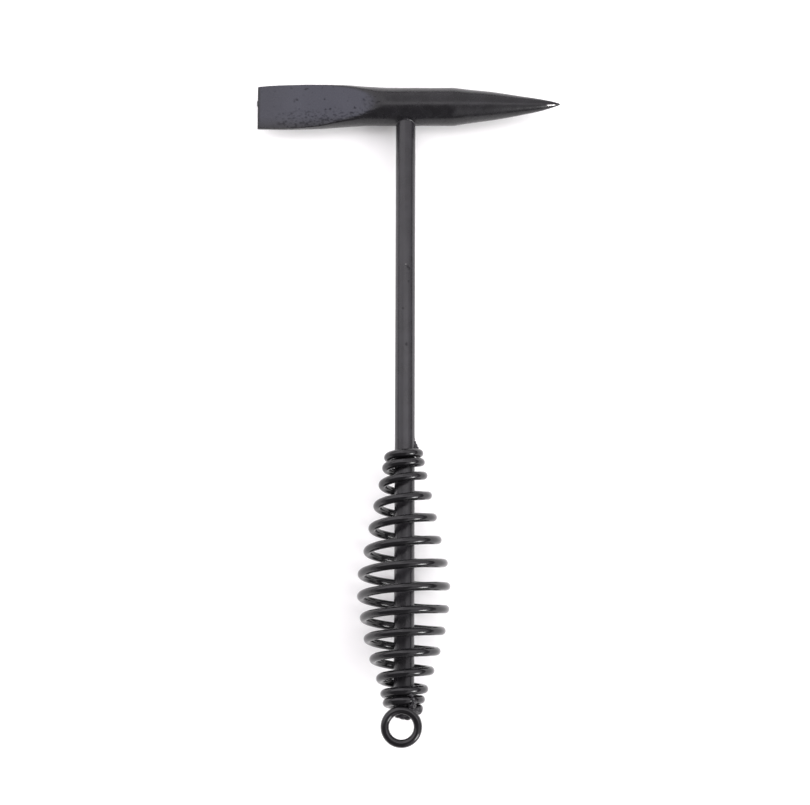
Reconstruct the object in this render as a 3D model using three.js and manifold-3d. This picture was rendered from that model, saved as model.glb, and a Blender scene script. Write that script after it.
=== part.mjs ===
// A steel chipping hammer with a barrel spring for a grip, lying on a table as it is laid down.
//
// The hammer is drawn in its own frame first: the shank runs along Y with the head at Y = 0, the head lies
// across it along X with its point at +X and its blade at -X, and Z is up from the table. At the end the
// whole hammer is tipped until the head and the belly of the spring touch one level surface, and moved so
// that the origin is the middle of its bounding box, at the bottom. Lengths are in millimetres.

import * as THREE from "three";
import { mergeVertices } from "three/addons/utils/BufferGeometryUtils.js";
import Module from "manifold-3d";

const wasm = await Module();
wasm.setup();

// ---- Driving dimensions -------------------------------------------------------------------------------

const GAP = 0.3; // clearance kept between two pieces that are welded or pressed together

const SHANK = {
  radius: 4.2, // 8 mm round bar, and its paint
  top: 3.1, // Y of its upper end, inside the head and a little past the head's axis
  tail: -259.6, // Y of its lower end
  chamfer: 0.6,
  sides: 32,
};

const HEAD = {
  radius: 8.15, // 16 mm round bar, and its paint
  pointReach: 66.5, // from the shank's axis to the tip of the point
  bladeReach: 63.7, // from the shank's axis to the cutting edge
  edgeHalf: 0.55, // half the thickness at the very edge
  clearance: 3, // how far the block that leaves the flats stands clear of the round bar
  bladeTwist: THREE.MathUtils.degToRad(3.9), // the flats sit slightly turned about the head's axis
  sides: 48,
};

// The head's outline, as [place along the head, value] pairs. The blade was spread, so it is wider than the
// bar, and its two flats are hollow: thin over the outer half and swelling quickly to the bar.
const BLADE_RADIUS = [
  [-63.7, 9.2], [-56, 9.6], [-48, 9.7], [-40, 9.55], [-32, 9.3], [-24, 8.9], [-16, 8.4], [-8, 8.15],
];
const POINT_RADIUS = [[18, 8.15], [28.5, 7.05], [39, 5.8], [49.5, 4.05], [60, 2.15], [66.3, 0.35]];
const TOP_FLAT = [
  [-62.6, 0.95], [-50, 1.15], [-44.5, 1.6], [-36.5, 2.9], [-29.8, 4.4], [-22.8, 5.5], [-15.6, 6.9],
];
const UNDER_FLAT = [
  [-62.6, 1], [-50, 1.4], [-44.5, 2.2], [-36.5, 3.6], [-29.8, 5], [-22.8, 6], [-15.6, 7.1],
];

// How far the middle of the head strays from a straight line, towards +Y: a hand-drawn bar is never true.
const STRAY = [
  [-63.7, -0.8], [-54, -0.6], [-44, -0.3], [-30, 0.05], [-18, 0.1],
  [20, 0], [34, 0.3], [50, 0.6], [66.5, 1.3],
];

const SPRING = {
  wire: 1.75, // radius of the 3.5 mm wire
  firstTurn: -151.1, // Y where the wire starts, on the right of the shank
  turns: 14,
  leadIn: 0.06, // extra part of a turn before the first and after the last
  radii: [6.5, 7.7, 11, 14.4, 17.5, 15.9, 12.2, 8, 6.55], // of the coil, at even steps from top to bottom
  closedPitch: 3.65, // at both ends, where the turns lie on each other
  openPitch: 8.55, // between the ends
  bellyPitch: 1, // added to the open pitch at the belly and taken off it far from the belly
  belly: 0.4, // where the pitch is widest, as a share of the turns
  opening: [0.45, 2.8], // turns over which the closed end opens
  closing: [11.6, 12.6], // turns over which the spring closes again
  leaning: [6, 9], // turns over which the coils start to lean
  lean: 0.024, // from there on the left of each turn sits higher by this slope
  offset: -0.25, // the spring sits slightly to the left of the shank
  steps: 284,
  sides: 8,
};

const HEAD_WELD = 0.9; // radius of the bead of weld round the shank, under the head

const RING = {
  wire: 1.7, // radius of the 3.4 mm wire
  radius: 6.7, // centre of the wire
  x: -1,
  y: -264,
  steps: 40,
  sides: 12,
};

// ---- Solids --------------------------------------------------------------------------------------------

// A closed three.js geometry as a solid that can be cut and joined.
function solid(geometry) {
  const bare = geometry.clone();
  bare.deleteAttribute("normal");
  bare.deleteAttribute("uv");
  const merged = mergeVertices(bare, 1e-4);
  return new wasm.Manifold(
    new wasm.Mesh({
      numProp: 3,
      vertProperties: new Float32Array(merged.attributes.position.array),
      triVerts: new Uint32Array(merged.index.array),
    }),
  );
}

// The solid back as a three.js geometry.
function geometryOf(body) {
  const mesh = body.getMesh();
  const geometry = new THREE.BufferGeometry();
  geometry.setAttribute("position", new THREE.BufferAttribute(mesh.vertProperties, 3));
  geometry.setIndex(new THREE.BufferAttribute(mesh.triVerts, 1));
  geometry.computeVertexNormals();
  return geometry;
}

function blackEnamel(roughness) {
  return new THREE.MeshStandardMaterial({ color: 0x2b2b2e, roughness, metalness: 0.1 });
}

// A round bar along Y from low to high, with both ends chamfered.
function roundBar(radius, low, high, chamfer, sides) {
  const profile = [
    new THREE.Vector2(0, low),
    new THREE.Vector2(radius - chamfer, low),
    new THREE.Vector2(radius, low + chamfer),
    new THREE.Vector2(radius, high - chamfer),
    new THREE.Vector2(radius - chamfer, high),
    new THREE.Vector2(0, high),
  ];
  return new THREE.LatheGeometry(profile, sides);
}

// ---- Head ----------------------------------------------------------------------------------------------

// A smooth curve through [place, value] pairs, cut into points with the value first.
function sideways(pairs, divisions) {
  const points = pairs.map(([place, value]) => new THREE.Vector2(value, place));
  return new THREE.SplineCurve(points).getPoints(divisions);
}

// The value at one place, straight between the pairs on either side of it.
function valueAt(pairs, place) {
  const next = Math.max(1, pairs.findIndex(([x]) => x >= place));
  const [x0, low] = pairs[next - 1];
  const [x1, high] = pairs[next];
  return THREE.MathUtils.mapLinear(place, x0, x1, low, high);
}

// The head turned as one round shape about X: wide where the blade was spread, tapering to the point.
function turnedHead() {
  const profile = [
    new THREE.Vector2(0, -HEAD.bladeReach),
    ...sideways(BLADE_RADIUS, 14),
    ...sideways(POINT_RADIUS, 12),
    new THREE.Vector2(0, HEAD.pointReach),
  ];
  const turned = new THREE.LatheGeometry(profile, HEAD.sides);
  turned.rotateZ(-Math.PI / 2);
  return turned;
}

// Moves each section of the head sideways, as a blade and a point that were drawn by hand come out.
function drawOver(geometry) {
  const position = geometry.attributes.position;
  for (let i = 0; i < position.count; i += 1) {
    position.setY(i, position.getY(i) + valueAt(STRAY, position.getX(i)));
  }
}

// Side view of the head, cut square across: its outline leaves the two flats of the blade.
function flattener() {
  const clear = HEAD.radius + HEAD.clearance;
  const half = (pairs) => [
    new THREE.Vector2(-HEAD.bladeReach, HEAD.edgeHalf),
    ...sideways([...pairs, [-HEAD.clearance, clear]], 20).map((p) => new THREE.Vector2(p.y, p.x)),
    new THREE.Vector2(HEAD.pointReach + HEAD.clearance, clear),
  ];
  const lower = half(UNDER_FLAT).map((p) => new THREE.Vector2(p.x, -p.y)).reverse();
  const width = 4 * HEAD.radius;
  const outline = new THREE.Shape([...half(TOP_FLAT), ...lower]);
  const block = new THREE.ExtrudeGeometry(outline, { depth: width, bevelEnabled: false });
  block.translate(0, 0, -width / 2);
  block.rotateX(Math.PI / 2 + HEAD.bladeTwist);
  return block;
}

// The bar that is bored out of the head for the shank, open at the underside.
function socket() {
  return roundBar(SHANK.radius + GAP, -2 * HEAD.radius, SHANK.top + GAP, SHANK.chamfer, SHANK.sides);
}

function headSolid() {
  const turned = turnedHead();
  drawOver(turned);
  return solid(turned).intersect(solid(flattener())).subtract(solid(socket()));
}

// ---- Spring grip ---------------------------------------------------------------------------------------

const TURN = 2 * Math.PI;

const COIL_OUTLINE = new THREE.SplineCurve(SPRING.radii.map((radius, i) => new THREE.Vector2(i, radius)));

// Length of the spring that one turn takes up, at a number of turns from the top.
function coilPitch(turn) {
  const opened = THREE.MathUtils.smoothstep(turn, ...SPRING.opening);
  const closed = THREE.MathUtils.smoothstep(turn, ...SPRING.closing);
  const bellyWave = SPRING.bellyPitch * Math.cos(TURN * (turn / SPRING.turns - SPRING.belly));
  const open = SPRING.openPitch + bellyWave;
  return THREE.MathUtils.lerp(SPRING.closedPitch, open, opened * (1 - closed));
}

// The wire's centre line: a helix that starts on the right, passes in front of the shank and goes down.
class BarrelCoil extends THREE.Curve {
  constructor(count = 600) {
    super();
    this.first = -SPRING.leadIn;
    this.span = SPRING.turns + 2 * SPRING.leadIn;
    this.arcLengthDivisions = 3000;
    this.heights = [SPRING.firstTurn + SPRING.leadIn * SPRING.closedPitch];
    for (let i = 0; i < count; i += 1) {
      const middle = this.first + ((i + 0.5) / count) * this.span;
      this.heights.push(this.heights[i] - (this.span / count) * coilPitch(middle));
    }
  }

  // Y where the wire is, at a share of its turns.
  height(share) {
    const place = share * (this.heights.length - 1);
    const i = Math.min(Math.floor(place), this.heights.length - 2);
    return THREE.MathUtils.lerp(this.heights[i], this.heights[i + 1], place - i);
  }

  getPoint(share, target = new THREE.Vector3()) {
    const turn = this.first + share * this.span;
    const radius = COIL_OUTLINE.getPoint(THREE.MathUtils.clamp(turn / SPRING.turns, 0, 1)).y;
    const x = radius * Math.cos(TURN * turn);
    const z = radius * Math.sin(TURN * turn);
    const lean = SPRING.lean * THREE.MathUtils.smoothstep(turn, ...SPRING.leaning);
    return target.set(SPRING.offset + x, this.height(share) - lean * x, z);
  }
}

const COIL = new BarrelCoil();

// A tube of the given radius along the coil.
function coilTube(radius) {
  const section = new THREE.Shape();
  section.absarc(0, 0, radius, 0, TURN);
  return new THREE.ExtrudeGeometry(section, {
    extrudePath: COIL,
    steps: SPRING.steps,
    curveSegments: SPRING.sides / 2,
    bevelEnabled: false,
  });
}

// ---- Ring and welds ------------------------------------------------------------------------------------

const RING_HEIGHT = SHANK.radius + RING.wire + GAP; // the ring lies on the front of the shank's end

function ringTube(wire) {
  const ring = new THREE.TorusGeometry(RING.radius, wire, RING.sides, RING.steps);
  ring.translate(RING.x, RING.y, RING_HEIGHT);
  return ring;
}

// A rounded lump of weld metal, before its neighbours are cut out of it.
function bead(halfX, halfY, halfZ, x, y, z) {
  const lump = new THREE.SphereGeometry(1, 16, 12);
  lump.scale(halfX, halfY, halfZ);
  lump.translate(x, y, z);
  return lump;
}

// The fillet of weld round the shank: a thin ring bent to follow the head's round underside.
function headWeld() {
  const weld = new THREE.TorusGeometry(SHANK.radius + GAP, HEAD_WELD, 8, 40);
  weld.rotateX(Math.PI / 2);
  const position = weld.attributes.position;
  const seat = HEAD.radius + GAP;
  for (let i = 0; i < position.count; i += 1) {
    const z = position.getZ(i);
    position.setY(i, position.getY(i) - Math.sqrt(seat * seat - z * z));
  }
  const bar = new THREE.CylinderGeometry(seat, seat, 4 * HEAD.radius, 96);
  bar.rotateZ(Math.PI / 2);
  return solid(weld).subtract(solid(bar)).subtract(grownShank());
}

function grownShank() {
  return solid(roundBar(SHANK.radius + GAP, SHANK.tail - GAP, 0, SHANK.chamfer, SHANK.sides));
}

function grownSpring() {
  return solid(coilTube(SPRING.wire + GAP));
}

// ---- The pieces ----------------------------------------------------------------------------------------

const hammer = new THREE.Group();

function piece(name, geometry, roughness) {
  const mesh = new THREE.Mesh(geometry, blackEnamel(roughness));
  mesh.name = name;
  hammer.add(mesh);
}

const springEnd = COIL.getPoint(1);

piece("hammer_head", geometryOf(headSolid()), 0.4);
piece("shank", roundBar(SHANK.radius, SHANK.tail, SHANK.top, SHANK.chamfer, SHANK.sides), 0.38);
piece("head_weld", geometryOf(headWeld()), 0.45);
piece("spring_grip", coilTube(SPRING.wire), 0.3);
piece("hang_ring", ringTube(RING.wire), 0.3);

const topTack = bead(2.2, 4.2, 2.2, SHANK.radius + 0.4, SPRING.firstTurn + 3.2, -0.2);
piece("spring_top_weld", geometryOf(solid(topTack).subtract(grownShank()).subtract(grownSpring())), 0.4);

const endTack = bead(1.9, 1.7, 2, springEnd.x - 0.8, springEnd.y - 1.3, springEnd.z + 0.6);
piece("spring_bottom_weld", geometryOf(solid(endTack).subtract(grownShank()).subtract(grownSpring())), 0.4);

const ringTack = bead(3.4, 1.7, 2.2, RING.x + 1.3, SHANK.tail - 0.2, SHANK.radius - 0.6);
const grownRing = solid(ringTube(RING.wire + GAP));
piece("ring_weld", geometryOf(solid(ringTack).subtract(grownShank()).subtract(grownRing)), 0.4);

// ---- Laid on the table ---------------------------------------------------------------------------------

const bellyY = COIL.height(0.5);
const bellyRadius = Math.max(...SPRING.radii) + SPRING.wire;
hammer.rotation.x = -Math.asin((bellyRadius - HEAD.radius) / -bellyY);

const box = new THREE.Box3().setFromObject(hammer, true);
hammer.position.set(-(box.min.x + box.max.x) / 2, -(box.min.y + box.max.y) / 2, -box.min.z);

const laid = new THREE.Group();
laid.add(hammer);

export default laid;
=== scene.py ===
# %% [markdown]
# # A chipping hammer with a spring grip
# The hammer is all steel: a round bar drawn to a point at one end and to a chisel at the other, an 8 mm bar
# for a shank, a coil spring for a grip and a ring to hang it by, all of it painted black. There is no wood,
# rubber or plastic, so the whole look rests on two things: the exact shapes of the bars, and how a thin coat
# of black paint catches the light on forged, drawn and welded steel.
#
# The CAD model gives the frame: where each piece is and how large it is. Every piece below is a finer mesh
# that stands in the same place as its CAD node and replaces it in the picture.

from math import cos, pi, radians, sin

import bmesh
import bpy
import numpy as np
from mathutils import Euler, Matrix, Vector, noise


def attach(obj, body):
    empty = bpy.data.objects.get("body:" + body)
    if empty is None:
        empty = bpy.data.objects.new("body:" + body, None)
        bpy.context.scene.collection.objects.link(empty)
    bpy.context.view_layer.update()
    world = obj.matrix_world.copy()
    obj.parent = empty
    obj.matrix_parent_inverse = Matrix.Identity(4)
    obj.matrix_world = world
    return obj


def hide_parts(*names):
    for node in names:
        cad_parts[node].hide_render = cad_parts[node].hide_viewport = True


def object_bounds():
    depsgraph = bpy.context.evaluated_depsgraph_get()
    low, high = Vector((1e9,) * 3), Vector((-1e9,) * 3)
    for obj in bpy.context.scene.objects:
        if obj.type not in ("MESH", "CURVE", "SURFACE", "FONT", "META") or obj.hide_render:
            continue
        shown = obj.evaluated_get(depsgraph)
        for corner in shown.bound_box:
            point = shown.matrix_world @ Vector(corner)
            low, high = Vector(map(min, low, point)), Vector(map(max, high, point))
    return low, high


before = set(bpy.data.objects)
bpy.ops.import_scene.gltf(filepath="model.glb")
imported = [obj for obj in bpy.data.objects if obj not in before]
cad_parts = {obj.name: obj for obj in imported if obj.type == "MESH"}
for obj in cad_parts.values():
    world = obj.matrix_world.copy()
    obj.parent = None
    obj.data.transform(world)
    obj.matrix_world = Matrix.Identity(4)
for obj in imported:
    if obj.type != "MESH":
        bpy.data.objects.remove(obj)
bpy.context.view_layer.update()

# %% [markdown]
# ## A frame that follows the shank
# The hammer lies on its spring and its head, so its shank slopes a little. Drawing it is much easier in a
# frame of its own, in millimetres: Y along the shank with the head at 0, X along the head towards the point,
# Z up from the shank. The CAD shank tells where that frame is: the middles of its two ends give the line, and
# its top end reaches a known distance past the head's axis. One matrix then carries each piece into place.

# %% The hammer's own frame
MM = 0.001
SHANK_SEAT = 3.1  # how far the shank's top end reaches past the axis of the head


def shank_end(pick):
    points = np.array([v.co for v in bpy.data.objects["shank"].data.vertices])
    y = points[:, 1]
    near = points[np.abs(y - pick(y)) < 0.4 * MM]
    return Vector((near.min(axis=0) + near.max(axis=0)) / 2)


tail_end = shank_end(np.min)
top_end = shank_end(np.max)
print("shank from", tail_end, "to", top_end)

along = (top_end - tail_end).normalized()
across = Vector((1, 0, 0))
upward = across.cross(along)
to_row = Matrix((across, along, upward)).transposed().to_4x4()
to_row.translation = top_end - SHANK_SEAT * MM * along
to_row = to_row @ Matrix.Scale(MM, 4)
print("the shank slopes", round(along.angle(Vector((0, 1, 0))) * 180 / pi, 2), "degrees")

# %% [markdown]
# ## The camera
# A camera first, so that every later step can be looked at. It stands about 0.85 m above the table, past the
# tail of the hammer, and looks a little towards the head. A long lens from there keeps the bars almost free
# of perspective. Its place and turn are written in the hammer's own frame and carried over by the matrix.

# %% The camera
CAMERA_PLACE = (0.9, -293.4, 854.5)
CAMERA_TURN = (10.8552, 0.0221, 0.1776)  # degrees
CAMERA_LENS = 92.41

camera_data = bpy.data.cameras.new("camera")
camera_data.lens = CAMERA_LENS
camera_data.sensor_width = 36
camera_data.clip_start = 0.01
camera = bpy.data.objects.new("camera", camera_data)
bpy.context.collection.objects.link(camera)
turn = to_row.to_quaternion() @ Euler([radians(a) for a in CAMERA_TURN]).to_quaternion()
camera.matrix_world = Matrix.LocRotScale(to_row @ Vector(CAMERA_PLACE), turn, None)
bpy.context.scene.camera = camera
print("camera at", tuple(round(v, 3) for v in camera.matrix_world.translation))

# %% [markdown]
# ## Making a mesh from rings
# Bars, wires and points are all rows of closed rings joined by quads. A ring that shrinks to a point or a
# line closes an end: its doubled points are merged, and no cap face is needed. Building the rings in numpy
# keeps full control over each station, which a modifier stack on a cylinder would not give.

# %% Helpers for rings of points
def through(points, x):
    """A smooth curve through a few (place, value) points, read at x."""
    px, py = np.array(points, float).T
    slope = np.gradient(py, px)
    i = np.clip(np.searchsorted(px, x) - 1, 0, len(px) - 2)
    width = px[i + 1] - px[i]
    t = np.clip((x - px[i]) / width, 0, 1)
    start = (1 + 2 * t) * (1 - t) ** 2 * py[i] + t * (1 - t) ** 2 * width * slope[i]
    end = t * t * (3 - 2 * t) * py[i + 1] + t * t * (t - 1) * width * slope[i + 1]
    return start + end


def smooth_step(low, high, x):
    t = np.clip((x - low) / (high - low), 0, 1)
    return t * t * (3 - 2 * t)


def between(x, start, full, still, end):
    """1 from full to still, fading to 0 at start and end."""
    return smooth_step(start, full, x) * smooth_step(end, still, x)


def smooth_min(a, b, soft):
    """The lower of a and b, with the corner where they cross rounded off."""
    h = np.clip(0.5 + 0.5 * (b - a) / soft, 0, 1)
    return b + (a - b) * h - soft * h * (1 - h)


def mesh_from_rings(name, rings, loop=False):
    """A closed mesh from an array [ring, point, xyz] in the hammer's own frame, carried to its place."""
    count, sides = rings.shape[:2]
    corner = np.arange(count * sides).reshape(count, sides)
    if loop:
        corner = np.vstack([corner, corner[:1]])
    a, b = corner[:-1], corner[1:]
    quads = np.stack([a, b, np.roll(b, -1, axis=1), np.roll(a, -1, axis=1)], axis=-1).reshape(-1, 4)
    mesh = bpy.data.meshes.new(name)
    mesh.from_pydata(rings.reshape(-1, 3).tolist(), [], quads.tolist())
    mesh.transform(to_row)
    return mesh


def close_and_smooth(mesh):
    """Merges the doubled points, turns every face outwards and shades the mesh smooth."""
    shape = bmesh.new()
    shape.from_mesh(mesh)
    bmesh.ops.remove_doubles(shape, verts=shape.verts, dist=2e-6)
    bmesh.ops.dissolve_degenerate(shape, edges=shape.edges, dist=1e-6)
    bmesh.ops.recalc_face_normals(shape, faces=shape.faces)
    for face in shape.faces:
        face.smooth = True
    open_edges = sum(not edge.is_manifold for edge in shape.edges)
    shape.to_mesh(mesh)
    shape.free()
    print(mesh.name, len(mesh.polygons), "faces,", open_edges, "open edges")


def stand_in(mesh, material, node):
    """Puts a finished mesh in the scene in place of its CAD node, and lets it ride on the hammer."""
    mesh.materials.clear()
    mesh.materials.append(material)
    piece = bpy.data.objects.new(mesh.name, mesh)
    bpy.context.collection.objects.link(piece)
    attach(piece, "root")
    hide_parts(node)


def roughen(points, size, seed):
    """Soft noise between about -1 and 1 at each point of an array [.., xyz] in mm."""
    shift = Vector((seed * 17.3, seed * 5.1, seed * 11.7))
    flat = points.reshape(-1, 3) / size
    values = [noise.fractal(Vector(p) + shift, 1.0, 2.0, 3) for p in flat]
    return np.array(values).reshape(points.shape[:-1])


def uneven(points, layers):
    """Layers of soft noise, each given as its depth and width in mm and a seed."""
    return sum(depth * roughen(points, width, seed) for depth, width, seed in layers)


# %% [markdown]
# ## Black paint
# One coat of black enamel, sprayed on: it is a little thicker in some patches than in others, it shows the
# grain of the steel under it and it dries with a faint orange-peel skin. A Principled shader with a very dark
# base does this.
# Its gloss comes from the shader's own reflection, and three noises on Object coordinates give it life: one
# changes the roughness in soft patches, one lays the orange peel in the bump and one adds fine grit.
# A piece can carry three attributes from 0 to 1: bare, where the paint has worn through to the steel, a
# painted sheen, where a painted reflection lightens the black to grey-blue, and pitted, in the depths that no
# light finds its way out of.

# %% The paint
PAINTED_SHEEN = (0.035, 0.036, 0.049)  # painted reflection: the grey-blue of the bright ceiling, laid into the upper flat's colour
STEEL = (0.85, 0.84, 0.82)
SHINE = 0.5  # the shader's usual reflection
PIT_SHINE = 0.2
SKIN_SIZE, GRIT_SIZE = 1.6, 0.35  # mm


def node(tree, kind, **values):
    """A new shader node, with its inputs set or linked by name."""
    made = tree.nodes.new(kind)
    for name, value in values.items():
        socket = made.inputs[name.replace("_", " ")]
        if isinstance(value, bpy.types.NodeSocket):
            tree.links.new(value, socket)
        else:
            socket.default_value = value
    return made


def spread(tree, value, low, high, start=0.35, stop=0.65):
    """A noise value spread from low to high."""
    limits = dict(From_Min=start, From_Max=stop, To_Min=low, To_Max=high)
    ranged = node(tree, "ShaderNodeMapRange", Value=value, **limits)
    ranged.interpolation_type = "SMOOTHSTEP"
    return ranged.outputs["Result"]


def grain(tree, place, size_mm, detail=2.0):
    found = node(tree, "ShaderNodeTexNoise", Vector=place, Scale=1 / (size_mm * MM), Detail=detail)
    return found.outputs["Fac"]


def attribute(tree, name):
    found = tree.nodes.new("ShaderNodeAttribute")
    found.attribute_name = name
    return found.outputs["Fac"]


def mixed(tree, share, a, b):
    """A colour between a and b; each is a colour or a socket."""
    made = tree.nodes.new("ShaderNodeMix")
    made.data_type = "RGBA"
    tree.links.new(share, made.inputs["Factor"])
    for socket, colour in ((made.inputs["A"], a), (made.inputs["B"], b)):
        if isinstance(colour, bpy.types.NodeSocket):
            tree.links.new(colour, socket)
        else:
            socket.default_value = (*colour, 1)
    return made.outputs["Result"]


def black_paint(name, shade, gloss_low, gloss_high, peel, grit, patch_size=9.0, ior=1.5):
    """shade: the paint's own grey. gloss_low, gloss_high: roughness. peel, grit: depth of the bump in mm."""
    material = bpy.data.materials.new(name)
    material.use_nodes = True
    tree = material.node_tree
    shader = tree.nodes["Principled BSDF"]
    place = tree.nodes.new("ShaderNodeTexCoord").outputs["Object"]
    worn = attribute(tree, "bare")
    thin = (shade, shade * 0.95, shade * 1.1)
    thick = (shade * 1.4, shade * 1.33, shade * 1.55)
    tone = mixed(tree, spread(tree, grain(tree, place, patch_size), 0, 1), thin, thick)
    # painted reflection: where the sheen value is high, the black turns to the grey-blue of the bright
    # ceiling
    painted_sheen_tone = mixed(tree, attribute(tree, "dusty"), tone, PAINTED_SHEEN)
    tree.links.new(mixed(tree, worn, painted_sheen_tone, STEEL), shader.inputs["Base Color"])
    tree.links.new(worn, shader.inputs["Metallic"])
    shader.inputs["IOR"].default_value = ior
    pits = attribute(tree, "pitted")
    shine = node(tree, "ShaderNodeMapRange", Value=pits, To_Min=SHINE, To_Max=PIT_SHINE)
    tree.links.new(shine.outputs["Result"], shader.inputs["Specular IOR Level"])

    dull = spread(tree, grain(tree, place, patch_size / 4, 4.0), gloss_low, gloss_high)
    tree.links.new(dull, shader.inputs["Roughness"])

    peel_noise = grain(tree, place, SKIN_SIZE)
    grit_noise = grain(tree, place, GRIT_SIZE, 3.0)
    skin = node(tree, "ShaderNodeBump", Strength=1.0, Distance=peel * MM, Height=peel_noise)
    fine = node(tree, "ShaderNodeBump", Strength=1.0, Distance=grit * MM, Height=grit_noise)
    tree.links.new(skin.outputs["Normal"], fine.inputs["Normal"])
    tree.links.new(fine.outputs["Normal"], shader.inputs["Normal"])
    return material


head_paint = black_paint("forged_head_paint", 0.008, 0.22, 0.30, peel=0.014, grit=0.002, ior=1.42)
shank_paint = black_paint("drawn_bar_paint", 0.013, 0.20, 0.27, peel=0.015, grit=0.004)
spring_paint = black_paint("spring_wire_paint", 0.005, 0.14, 0.20, peel=0.012, grit=0.003)
ring_paint = black_paint("ring_paint", 0.005, 0.13, 0.18, peel=0.01, grit=0.002)
weld_paint = black_paint("weld_paint", 0.014, 0.20, 0.34, peel=0.05, grit=0.01)
print("paints:", [m.name for m in bpy.data.materials if m.name.endswith("paint")])

# %% [markdown]
# ## The head
# A blacksmith would start from a 16 mm bar, grind one end to a point and spread the other end under the
# hammer until it is flat: the metal that leaves the thickness goes into the width, so the blade is a little
# wider than the bar. The mesh follows the same idea. Each station along the head is a circle of the local
# half width, and its two faces are pressed flat at the local half thickness, with a soft corner.
# One function then gives the round body, the flats that run out on it and the thin blade.

# %% The head's measures, along its axis in mm
BLADE_END = -63.7
POINT_END = 66.5
BAR_RADIUS = 8.15
HALF_WIDTH = [
    (BLADE_END, 9.24), (-58, 9.52), (-51, 9.68), (-44, 9.62), (-36, 9.45), (-30, 9.2),
    (-23, 8.86), (-18, 8.44), (-12.5, 8.27), (-3, BAR_RADIUS),
]
POINT_RADIUS = [
    (16, 8.75), (28.5, 7.1), (38.8, 5.86), (49.2, 4.15), (59.5, 2.25), (64.6, 0.88), (66.2, 0.24),
    (POINT_END, 0),
]
TOP_FLAT = [
    (-62.7, 0.95), (-50, 1.15), (-44.5, 1.6), (-36.5, 2.9), (-29.8, 4.4), (-22.8, 5.5), (-15.6, 6.9),
    (-11, 8.1), (-4, 11),
]
UNDER_FLAT = [
    (-62.7, 1.0), (-50, 1.5), (-44.5, 2.3), (-36.5, 3.7), (-29.8, 5.1), (-22.8, 6.1), (-15.6, 7.3),
    (-11, 8.3), (-4, 11),
]
MIDDLE = [
    (BLADE_END, -0.85), (-58, -0.66), (-54, -0.58), (-44, -0.32), (-36, -0.18), (-30, 0.06), (-23, 0.18),
    (-16, 0.12), (-8, -0.04), (8, -0.05), (20, 0.0), (34, 0.3), (50, 0.6), (POINT_END, 1.3),
]
BLADE_TWIST = radians(3.9)
CORNER = [(BLADE_END, 0.4), (-40, 0.55), (-25, 0.8), (-10, 1.2)]  # how soft the edge of the flat is
EDGE_BEVEL = 1.0
EDGE_ROUND = 0.35
EDGE_HALF = 0.55
HEAD_SIDES = 200

ease = np.linspace(0, pi / 2, 7)
stations = np.concatenate([
    BLADE_END + EDGE_ROUND * (1 - np.cos(ease)),
    np.linspace(BLADE_END + EDGE_ROUND, BLADE_END + EDGE_BEVEL, 5)[1:],
    np.linspace(BLADE_END + EDGE_BEVEL, -8, 320)[1:],
    np.linspace(-8, POINT_END - 3, 120)[1:],
    POINT_END - 3 * (1 - np.sin(np.linspace(0, pi / 2, 16)[1:])),
])
print(len(stations), "stations along the head")

# %% The head's surface
def half_thickness(x, flat):
    """Half the blade's thickness on one side: a rounded land at the edge, a bevel and then the flat."""
    land = EDGE_HALF * np.sqrt(np.clip(1 - ((BLADE_END + EDGE_ROUND - x) / EDGE_ROUND) ** 2, 0, 1))
    bevel = np.interp(x, [BLADE_END + EDGE_ROUND, BLADE_END + EDGE_BEVEL], [EDGE_HALF, flat[0][1]])
    near_edge = np.where(x < BLADE_END + EDGE_ROUND, land, bevel)
    return np.where(x < BLADE_END + EDGE_BEVEL, near_edge, through(flat, x))


def head_rings(x):
    """Points of the head at each station x, and how far each one was pressed down from the round bar."""
    angle = np.linspace(0, 2 * pi, HEAD_SIDES, endpoint=False)
    radius = np.where(x < -3, through(HALF_WIDTH, x), smooth_min(through(POINT_RADIUS, x), BAR_RADIUS, 0.15))
    radius = np.maximum(radius, 0)[:, None]
    top, under = half_thickness(x, TOP_FLAT)[:, None], half_thickness(x, UNDER_FLAT)[:, None]
    flat = np.where(np.sin(angle) >= 0, top, under)
    soft = np.minimum(through(CORNER, x)[:, None], 0.8 * flat)
    wide = radius * np.cos(angle)
    high = np.abs(radius * np.sin(angle))
    pressed = np.where(flat > 9.5, high, smooth_min(high, flat, np.maximum(soft, 1e-6)))
    thick = np.sign(np.sin(angle)) * np.maximum(pressed, 0)
    y = wide * cos(BLADE_TWIST) - thick * sin(BLADE_TWIST) + through(MIDDLE, x)[:, None]
    z = wide * sin(BLADE_TWIST) + thick * cos(BLADE_TWIST)
    return np.stack([np.broadcast_to(x[:, None], y.shape), y, z], axis=-1), high - pressed


rings, pressed = head_rings(stations)
print("head from", rings.min(axis=(0, 1)).round(2), "to", rings.max(axis=(0, 1)).round(2))

# %% [markdown]
# Forging leaves marks that paint doesn't hide: the bar is never quite straight, and where scale was beaten
# into the hot face it leaves shallow pits, here along the lower side of the flat and where the flat starts.
# A few more pits are loose, a furrow follows the flat's lower border, and a burr stands on the blade's edge.
# These are real dents in the mesh, because they show in the outline and in the reflections.

# %% Forging marks
FORGED_WAVES = [(0.05, 11, 1), (0.02, 4, 2)]
DENT_DEPTH = 0.16
PIT_STRETCH = np.array([0.45, 1, 1])  # pits are drawn out along the head
PIT_SIZE, LOOSE_PIT_SIZE = 0.65, 1.2
FLAT_SPAN = (-62, -52, -17, -12)  # the pits start, are full, still full and gone
FLAT_START = -14.5
BURR = 0.3
BURR_SPAN = (-0.4, 0.3, 1.8, 2.6)


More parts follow.
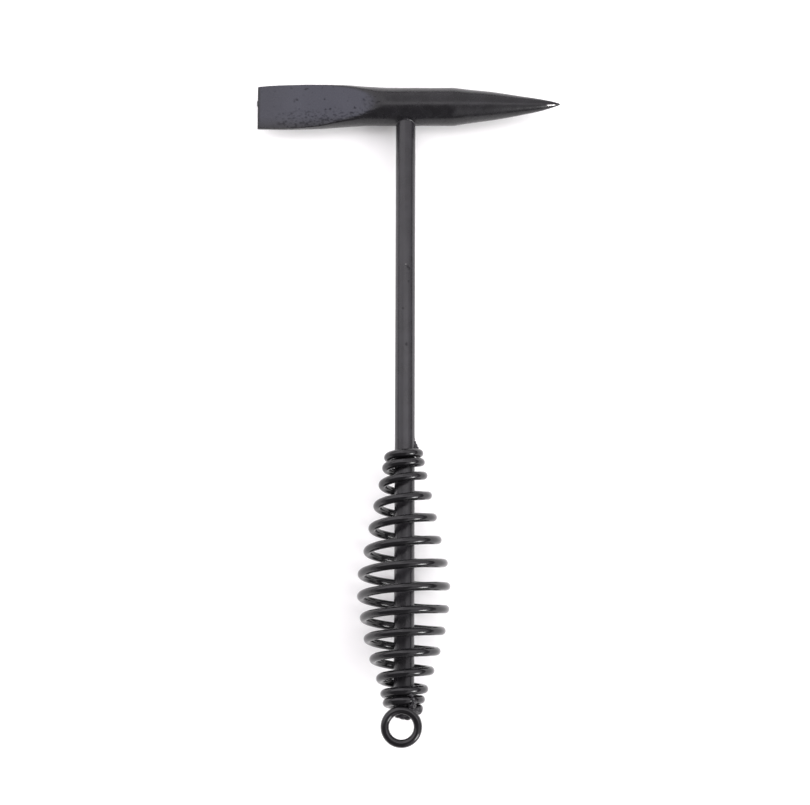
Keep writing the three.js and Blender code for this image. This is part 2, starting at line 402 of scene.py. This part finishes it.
def forge(rings, pressed):
    """Adds waves, dents and a burr, and tells how deep in a dent each point is."""
    x, y = rings[..., 0], rings[..., 1]
    centre = np.stack([x, through(MIDDLE, x[:, :1]) + 0 * y, 0 * x], axis=-1)
    outward = rings - centre
    length = np.linalg.norm(outward, axis=-1, keepdims=True)
    outward = outward / np.maximum(length, 0.2)
    waves = uneven(rings, FORGED_WAVES)

    # Where the pits may be: on the lower side of the flat and round the place where it starts.
    on_flat = between(x, *FLAT_SPAN) * smooth_step(0.05, 0.3, pressed)
    low_side = smooth_step(-1.6, -5.4, y + 2 * roughen(rings, 7, 3))
    round_start = 0.7 * smooth_step(4.5, 2, np.hypot((x - FLAT_START) * 0.8, y))
    scaled = np.maximum(on_flat * low_side, round_start)

    # The pits and the furrow themselves, from 0 outside to about 1 at the bottom.
    stretched = rings * PIT_STRETCH
    pits = 0.8 * smooth_step(0.12, 0.45, roughen(stretched, PIT_SIZE, 4)) * scaled
    loose = smooth_step(0.58, 0.75, roughen(stretched, LOOSE_PIT_SIZE, 6)) * on_flat
    border = smooth_step(0.55, 0.2, np.abs(pressed - 1.0))
    furrow = border * smooth_step(-4, -6, y) * smooth_step(-17, -30, x)
    furrow = 0.8 * furrow * smooth_step(-0.1, 0.25, roughen(rings, 3, 12))
    dents = np.maximum(np.maximum(pits, loose), furrow)

    fade = smooth_step(0.3, 2.0, length[..., 0])  # leaves the tip of the point alone
    forged = rings + outward * ((waves - DENT_DEPTH * dents) * fade)[..., None]
    forged[..., 0] -= BURR * smooth_step(BLADE_END + 1.5, BLADE_END, x) * between(y, *BURR_SPAN)
    return forged, dents


# %% [markdown]
# Three values at each point tell the paint where it has changed: near the tip it has worn through along a
# thin line, a painted reflection of the bright ceiling lightens the upper flat to grey-blue, and the pits
# stay dark.

# %% The head's wear and painted reflection
GLINT_LENGTH = (60.4, 61.2, 63.6, 64.6)
GLINT_START = 58.7
GLINT_SLOPE = 0.134


def paint_values(mesh, name, values):
    mesh.attributes.new(name, "FLOAT", "POINT").data.foreach_set("value", np.ravel(values))


forged, pitted = forge(rings, pressed)
head_mesh = mesh_from_rings("forged_head", forged)
x, y, z = np.moveaxis(rings, -1, 0)
off_glint = np.abs(y - GLINT_SLOPE * (x - GLINT_START)) + 0.05 * np.maximum(x - 62, 0)
rubbed = between(x, *GLINT_LENGTH) * (z > 0) * smooth_step(0.28, 0.12, off_glint)
# painted reflection on the upper flat: full on most of it, fading towards its lower border, the blade's edge
# and where the flat runs out, and kept out of the pits
painted_sheen_mask = smooth_step(0.1, 1.3, pressed) * (z > 0) * between(x, BLADE_END, BLADE_END + 1.6, -19, -9)
painted_sheen_mask *= (0.75 + 0.25 * smooth_step(-60, -45, x)) * (1 - 0.6 * pitted) * smooth_step(-9.5, -3, y + 1.5)
paint_values(head_mesh, "bare", rubbed)
paint_values(head_mesh, "dusty", painted_sheen_mask)
paint_values(head_mesh, "pitted", pitted)
close_and_smooth(head_mesh)
stand_in(head_mesh, head_paint, "hammer_head")

# %% [markdown]
# ## The shank
# A plain drawn bar. A cylinder would do, but a real bar shows long, faint waves from the drawing die and a
# few dents and chips from handling, and its tail end is dressed with a small chamfer.

# %% The shank
SHANK_RADIUS = 4.2
SHANK_TAIL = -259.6
CHAMFER = 0.6
SHANK_SIDES = 96
SHANK_STEPS = 900
DRAWN_WAVES = [(0.025, 3, 8)]
WAVE_STRETCH = np.array([1, 0.12, 1])  # the waves run along the bar
CHIP_DEPTH = 0.12
CHIPS = [  # place across and along, size, and how much bare steel it shows
    (0.2, -71.0, 0.3, 0.15), (1.2, -71.8, 0.6, 0), (1.9, -72.6, 0.6, 0), (1.6, -78.2, 0.4, 0),
    (-0.9, -90.2, 0.35, 0), (0.6, -105.4, 0.45, 0),
]

length_stations = np.linspace(SHANK_TAIL + CHAMFER, SHANK_SEAT - CHAMFER, SHANK_STEPS)
shank_y = np.concatenate([[SHANK_TAIL, SHANK_TAIL], length_stations, [SHANK_SEAT, SHANK_SEAT]])
full = np.full(SHANK_STEPS, SHANK_RADIUS)
shank_r = np.concatenate([[0, SHANK_RADIUS - CHAMFER], full, [SHANK_RADIUS - CHAMFER, 0]])


def bar_rings(y, radius, sides):
    angle = np.linspace(0, 2 * pi, sides, endpoint=False)
    x = radius[:, None] * np.cos(angle)
    z = radius[:, None] * np.sin(angle)
    return np.stack([x, np.broadcast_to(y[:, None], x.shape), z], axis=-1)


shank_rings = bar_rings(shank_y, shank_r, SHANK_SIDES)
wave = uneven(shank_rings * WAVE_STRETCH, DRAWN_WAVES)
chipped, bright = np.zeros(wave.shape), np.zeros(wave.shape)
for sideways, lengthways, size, steel_shown in CHIPS:
    away = np.hypot(shank_rings[..., 0] - sideways, 0.7 * (shank_rings[..., 1] - lengthways))
    chip = smooth_step(size, 0.5 * size, away) * (shank_rings[..., 2] > 0)
    chipped = np.maximum(chipped, chip)
    bright = np.maximum(bright, steel_shown * chip)
swell = 1 + (wave - CHIP_DEPTH * chipped) / SHANK_RADIUS
shank_rings[..., 0] *= swell
shank_rings[..., 2] *= swell
shank_mesh = mesh_from_rings("drawn_bar_shank", shank_rings)
paint_values(shank_mesh, "bare", bright)
paint_values(shank_mesh, "pitted", chipped - bright)
close_and_smooth(shank_mesh)
stand_in(shank_mesh, shank_paint, "shank")

# %% [markdown]
# ## The spring grip
# One length of 3.5 mm wire, wound in fourteen turns. Its radius swells from the shank to a belly and closes
# again, and the turns lie tight at both ends and open in between. That is a rule, so Geometry Nodes make it:
# a line of points becomes the wire's centre line, the number of turns from the top gives each point its angle
# and radius, and the pitch is added up from point to point to give its place along the shank.
# A circle is then swept along that line. Changing a named input re-winds the spring.

# %% The spring's measures
WIRE_RADIUS = 1.75
TURNS = 14
LEAD_IN = 0.06
COIL_RADII = [6.3, 7.7, 11.0, 14.4, 17.5, 15.9, 12.2, 8.0, 6.35]
SPRING_INPUTS = {
    "First Turn": -151.1,
    "Closed Pitch": 3.65,
    "Open Pitch": 8.55,
    "Belly Pitch": 1.0,
    "Belly": 0.4,
    "Lean": 0.024,
    "Offset": -0.25,
    "Wire Radius": WIRE_RADIUS,
}
OPENING = (0.45, 2.8)
CLOSING = (11.6, 12.6)
LEANING = (6.0, 9.0)
WIRE_STEPS = 1500
WIRE_SIDES = 20


# %% The spring's node tree
def spring_tree():
    tree = bpy.data.node_groups.new("wound_spring", "GeometryNodeTree")
    face = tree.interface
    for name, value in SPRING_INPUTS.items():
        face.new_socket(name, in_out="INPUT", socket_type="NodeSocketFloat").default_value = value
    face.new_socket("Paint", in_out="INPUT", socket_type="NodeSocketMaterial")
    face.new_socket("Spring", in_out="OUTPUT", socket_type="NodeSocketGeometry")
    given = tree.nodes.new("NodeGroupInput").outputs

    def math(operation, a, b=0.0, c=0.0):
        made = tree.nodes.new("ShaderNodeMath")
        made.operation = operation
        for socket, value in zip(made.inputs, (a, b, c)):
            if isinstance(value, bpy.types.NodeSocket):
                tree.links.new(value, socket)
            else:
                socket.default_value = value
        return made.outputs[0]

    def step(value, low, high):
        made = node(tree, "ShaderNodeMapRange", Value=value, From_Min=low, From_Max=high)
        made.interpolation_type = "SMOOTHSTEP"
        return made.outputs["Result"]

    # The turn that each point of the wire has come to, counted from the top.
    span = TURNS + 2 * LEAD_IN
    index = tree.nodes.new("GeometryNodeInputIndex").outputs["Index"]
    turn = math("MULTIPLY_ADD", index, span / (WIRE_STEPS - 1), -LEAD_IN)
    share = math("DIVIDE", turn, TURNS)

    # The pitch there, and the way down the shank as the sum of the pitch so far.
    swing = math("COSINE", math("MULTIPLY", math("SUBTRACT", share, given["Belly"]), 2 * pi))
    open_pitch = math("MULTIPLY_ADD", swing, given["Belly Pitch"], given["Open Pitch"])
    opened = math("MULTIPLY", step(turn, *OPENING), math("SUBTRACT", 1, step(turn, *CLOSING)))
    extra = math("MULTIPLY", math("SUBTRACT", open_pitch, given["Closed Pitch"]), opened)
    pitch = math("ADD", given["Closed Pitch"], extra)
    fall = math("MULTIPLY", pitch, span / (WIRE_STEPS - 1))
    added = node(tree, "GeometryNodeAccumulateField", Value=fall)
    way_down = math("SUBTRACT", added.outputs["Trailing"], math("MULTIPLY", given["Closed Pitch"], LEAD_IN))

    # The radius, from a curve with one handle for each of the coil's known radii.
    outline = node(tree, "ShaderNodeFloatCurve", Value=share)
    handles = outline.mapping.curves[0].points
    last = len(COIL_RADII) - 1
    handles[0].location = (0, COIL_RADII[0] / max(COIL_RADII))
    handles[1].location = (1, COIL_RADII[last] / max(COIL_RADII))
    for i in range(1, last):
        handles.new(i / last, COIL_RADII[i] / max(COIL_RADII))
    outline.mapping.update()
    radius = math("MULTIPLY", outline.outputs["Value"], max(COIL_RADII))

    # The centre line: right side first, then over the front and down.
    angle = math("MULTIPLY", turn, 2 * pi)
    x = math("MULTIPLY", radius, math("COSINE", angle))
    z = math("MULTIPLY", radius, math("SINE", angle))
    leaning = math("MULTIPLY", math("MULTIPLY", given["Lean"], step(turn, *LEANING)), x)
    y = math("SUBTRACT", math("SUBTRACT", given["First Turn"], way_down), leaning)
    place = node(tree, "ShaderNodeCombineXYZ", X=math("ADD", x, given["Offset"]), Y=y, Z=z)

    points = node(tree, "GeometryNodeMeshLine", Count=WIRE_STEPS)
    line = node(tree, "GeometryNodeMeshToCurve", Mesh=points.outputs["Mesh"])
    wound = node(tree, "GeometryNodeSetPosition", Geometry=line.outputs["Curve"])
    tree.links.new(place.outputs["Vector"], wound.inputs["Position"])
    circle = node(tree, "GeometryNodeCurvePrimitiveCircle", Resolution=WIRE_SIDES)
    tree.links.new(given["Wire Radius"], circle.inputs["Radius"])
    wire = node(tree, "GeometryNodeCurveToMesh", Curve=wound.outputs["Geometry"])
    tree.links.new(circle.outputs["Curve"], wire.inputs["Profile Curve"])
    wire.inputs["Fill Caps"].default_value = True
    real = node(tree, "GeometryNodeRealizeInstances", Geometry=wire.outputs["Mesh"])
    painted = node(tree, "GeometryNodeSetMaterial", Geometry=real.outputs["Geometry"])
    tree.links.new(given["Paint"], painted.inputs["Material"])
    out = tree.nodes.new("NodeGroupOutput")
    tree.links.new(painted.outputs["Geometry"], out.inputs["Spring"])
    return tree


# %% Winding the spring
def made_by(tree, name, **inputs):
    """Runs a node tree on an empty mesh and returns the result as a plain mesh."""
    carrier = bpy.data.objects.new(name + "_carrier", bpy.data.meshes.new(name + "_carrier"))
    bpy.context.collection.objects.link(carrier)
    modifier = carrier.modifiers.new(name, "NODES")
    modifier.node_group = tree
    for item in tree.interface.items_tree:
        if item.item_type == "SOCKET" and item.in_out == "INPUT" and item.name in inputs:
            modifier[item.identifier] = inputs[item.name]
    evaluated = carrier.evaluated_get(bpy.context.evaluated_depsgraph_get())
    mesh = bpy.data.meshes.new_from_object(evaluated)
    mesh.name = name
    bpy.data.objects.remove(carrier)
    return mesh


spring_mesh = made_by(spring_tree(), "wound_spring_grip", Paint=spring_paint, **SPRING_INPUTS)
spring_mesh.transform(to_row)
close_and_smooth(spring_mesh)
stand_in(spring_mesh, spring_paint, "spring_grip")

# %% [markdown]
# ## The hanging ring
# A closed ring of 3.4 mm wire, welded flat on the front of the shank's tail end.

# %% The ring
RING_RADIUS = 6.7
RING_WIRE = 1.7
RING_PLACE = (-1.0, -264.0, SHANK_RADIUS + RING_WIRE)


def ring_rings(steps, sides):
    turn = np.linspace(0, 2 * pi, steps, endpoint=False)[:, None]
    angle = np.linspace(0, 2 * pi, sides, endpoint=False)
    reach = RING_RADIUS + RING_WIRE * np.cos(angle)
    x = RING_PLACE[0] + reach * np.cos(turn)
    y = RING_PLACE[1] + reach * np.sin(turn)
    z = RING_PLACE[2] + RING_WIRE * np.sin(angle) + 0 * turn
    return np.stack([x, y, z], axis=-1)


ring_points = ring_rings(160, 32)
ring_mesh = mesh_from_rings("hanging_ring", ring_points, loop=True)
close_and_smooth(ring_mesh)
stand_in(ring_mesh, ring_paint, "hang_ring")

# %% [markdown]
# ## The welds
# A weld is a puddle of steel that froze: rounded, lumpy and drawn out where it wetted the bars. Metaballs
# flow into one another in the same way, so each tack is a few balls melted together, turned into a mesh
# and roughened. The tack at the spring's lower end covers the end of the wire and climbs over two turns.

# %% Tack welds
WELD_LUMPS = [(0.16, 1.2, 9), (0.1, 0.6, 10)]


def weld(name, balls, node_name):
    """balls: (x, y, z, radius) in mm."""
    melt = bpy.data.metaballs.new(name)
    melt.resolution = 0.18
    melt.threshold = 0.1
    for x, y, z, radius in balls:
        ball = melt.elements.new()
        ball.co = (x, y, z)
        ball.radius = radius
    carrier = bpy.data.objects.new(name + "_melt", melt)
    bpy.context.collection.objects.link(carrier)
    bpy.context.view_layer.update()
    evaluated = carrier.evaluated_get(bpy.context.evaluated_depsgraph_get())
    mesh = bpy.data.meshes.new_from_object(evaluated)
    mesh.name = name
    bpy.data.objects.remove(carrier)
    points = np.array([v.co for v in mesh.vertices])
    outward = np.array([v.normal for v in mesh.vertices])
    points += outward * uneven(points, WELD_LUMPS)[:, None]
    mesh.vertices.foreach_set("co", points.ravel())
    mesh.transform(to_row)
    close_and_smooth(mesh)
    stand_in(mesh, weld_paint, node_name)


weld(
    "spring_top_tack",
    [(3.8, -145.2, 0.0, 0.8), (4.0, -146.6, 0.0, 1.1), (4.2, -147.9, 0.0, 1.4), (4.5, -149.3, 0.1, 1.8)],
    "spring_top_weld",
)
weld(
    "spring_bottom_tack",
    [
        (5.6, -257.2, 3.2, 2.3), (4.6, -257.4, 4.6, 2.0), (2.9, -257.3, 5.6, 2.0), (3.6, -255.6, 6.6, 1.7),
        (4.2, -254.2, 7.2, 1.4), (3.6, -252.8, 7.9, 1.1), (3.0, -251.2, 7.9, 1.2), (3.3, -249.6, 8.3, 0.9),
        (3.7, -247.6, 8.6, 0.8),
    ],
    "spring_bottom_weld",
)
weld(
    "ring_tack",
    [(-2.4, -259.0, 3.8, 1.9), (-0.4, -259.3, 3.9, 2.2), (1.4, -259.6, 3.9, 2.1)],
    "ring_weld",
)

# %% [markdown]
# The head's weld is different: a thin fillet all the way round the shank, in the corner under the head.
# It is swept round the shank as a curved corner, with the ripples that a welder's hand leaves.

# %% The fillet under the head
FILLET_SIZE = 0.5
FILLET_SINK = 0.15
RIPPLE, WOBBLE = 0.03, 0.06


def fillet_rings(steps, sides):
    around = np.linspace(0, 2 * pi, steps, endpoint=False)[:, None]
    bend = np.linspace(0, 2 * pi, sides, endpoint=False)
    size = FILLET_SIZE + RIPPLE * np.sin(23 * around) + WOBBLE * np.sin(5 * around + 1)
    reach = SHANK_RADIUS - FILLET_SINK + size * np.cos(bend)
    x = reach * np.cos(around)
    z = reach * np.sin(around)
    under_head = -np.sqrt(BAR_RADIUS**2 - np.minimum(np.abs(z), SHANK_RADIUS) ** 2)
    y = under_head + FILLET_SINK + size * np.sin(bend)
    return np.stack([x, y, z], axis=-1)


fillet_mesh = mesh_from_rings("head_fillet", fillet_rings(240, 20), loop=True)
close_and_smooth(fillet_mesh)
stand_in(fillet_mesh, weld_paint, "head_weld")

# %% [markdown]
# ## Table and light
# The hammer lies on a plain white table. The ceiling is bright above the head and to the left, dimmer to the
# right and dark past the tail of the hammer, so each round bar shows a light side, a dark band and a crisp
# edge between them. A bright wall on the left edges the bars on that side. One more panel, kept out of
# reflections, lifts the shadows on the table, and a small lamp low on the right puts one bright spot on each
# turn of the spring.

# %% Table
TABLE_REACH = 3.0
TABLE_WHITE = (0.9, 0.9, 0.9, 1)
TABLE_GLOW = 0.12  # keeps the table white in its own soft shadows

floor_mesh = bpy.data.meshes.new("table")
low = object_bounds()[0].z
corners = [(x * TABLE_REACH, y * TABLE_REACH, low) for x, y in ((-1, -1), (1, -1), (1, 1), (-1, 1))]
floor_mesh.from_pydata(corners, [], [(0, 1, 2, 3)])
floor_paint = bpy.data.materials.new("white_table")
floor_paint.use_nodes = True
floor_shader = floor_paint.node_tree.nodes["Principled BSDF"]
floor_shader.inputs["Base Color"].default_value = TABLE_WHITE
floor_shader.inputs["Roughness"].default_value = 1.0
floor_shader.inputs["Specular IOR Level"].default_value = 0.0
floor_shader.inputs["Emission Color"].default_value = (1, 1, 1, 1)
floor_shader.inputs["Emission Strength"].default_value = TABLE_GLOW
floor_mesh.materials.append(floor_paint)
floor = bpy.data.objects.new("table", floor_mesh)
bpy.context.collection.objects.link(floor)

# %% Room light
WHITE = (0.98, 0.95, 1.0)
WARM_WHITE = (1.0, 0.97, 0.96)

bpy.context.scene.view_settings.view_transform = "Standard"
world = bpy.data.worlds.new("room")
bpy.context.scene.world = world
world.use_nodes = True
background = world.node_tree.nodes["Background"]
background.inputs["Color"].default_value = (1.0, 0.96, 1.0, 1)
background.inputs["Strength"].default_value = 0.2


def panel(name, low, high, height, glow, colour):
    """A bright panel that faces down, from corner low to corner high, in metres."""
    data = bpy.data.lights.new(name, "AREA")
    data.shape = "RECTANGLE"
    data.size = high[0] - low[0]
    data.size_y = high[1] - low[1]
    data.energy = glow * pi * data.size * data.size_y
    data.color = colour
    made = bpy.data.objects.new(name, data)
    bpy.context.collection.objects.link(made)
    made.location = ((low[0] + high[0]) / 2, (low[1] + high[1]) / 2, height)
    return made


CEILING = 1.0
LEFT, RIGHT = -3.0, 3.0
HEAD_Y = to_row.translation.y
NEAR = HEAD_Y + 0.27
FAR = HEAD_Y + 6.0
CEILING_PANELS = [
    ("near_left", (LEFT, HEAD_Y), (-0.3, NEAR), 1.25),
    ("near_middle", (-0.3, HEAD_Y), (0.85, NEAR), 2.1),
    ("near_right", (0.85, HEAD_Y), (RIGHT, NEAR), 0.9),
    ("far_left", (LEFT, NEAR), (-0.15, FAR), 1.6),
    ("far_right", (-0.15, NEAR), (RIGHT, FAR), 0.85),
    ("tail_right", (0.35, HEAD_Y - 3.0), (RIGHT, HEAD_Y), 0.8),
]
for name, low_corner, high_corner, glow in CEILING_PANELS:
    panel(name, low_corner, high_corner, CEILING, glow, WHITE)

fill = panel("fill", (LEFT, HEAD_Y - 0.8), (RIGHT, FAR), CEILING + 0.1, 0.7, WARM_WHITE)
fill.visible_glossy = False

wall = panel("left_wall", (-0.5, -3.0), (0.5, 3.0), 0.5, 0.65, WHITE)
wall.location.x = LEFT
wall.rotation_euler.y = -pi / 2


# %% Lamps
def lamp(name, direction, distance, size, glow):
    """A square soft lamp that shines at the scene's origin from the given direction."""
    data = bpy.data.lights.new(name, "AREA")
    data.size = size
    data.energy = glow * pi * size * size
    made = bpy.data.objects.new(name, data)
    bpy.context.collection.objects.link(made)
    away = Vector(direction).normalized()
    made.location = away * distance
    made.rotation_euler = away.to_track_quat("Z", "Y").to_euler()
    return made


lamp("low_right_lamp", (0.72, -0.50, 0.49), 1.6, 0.5, 16)
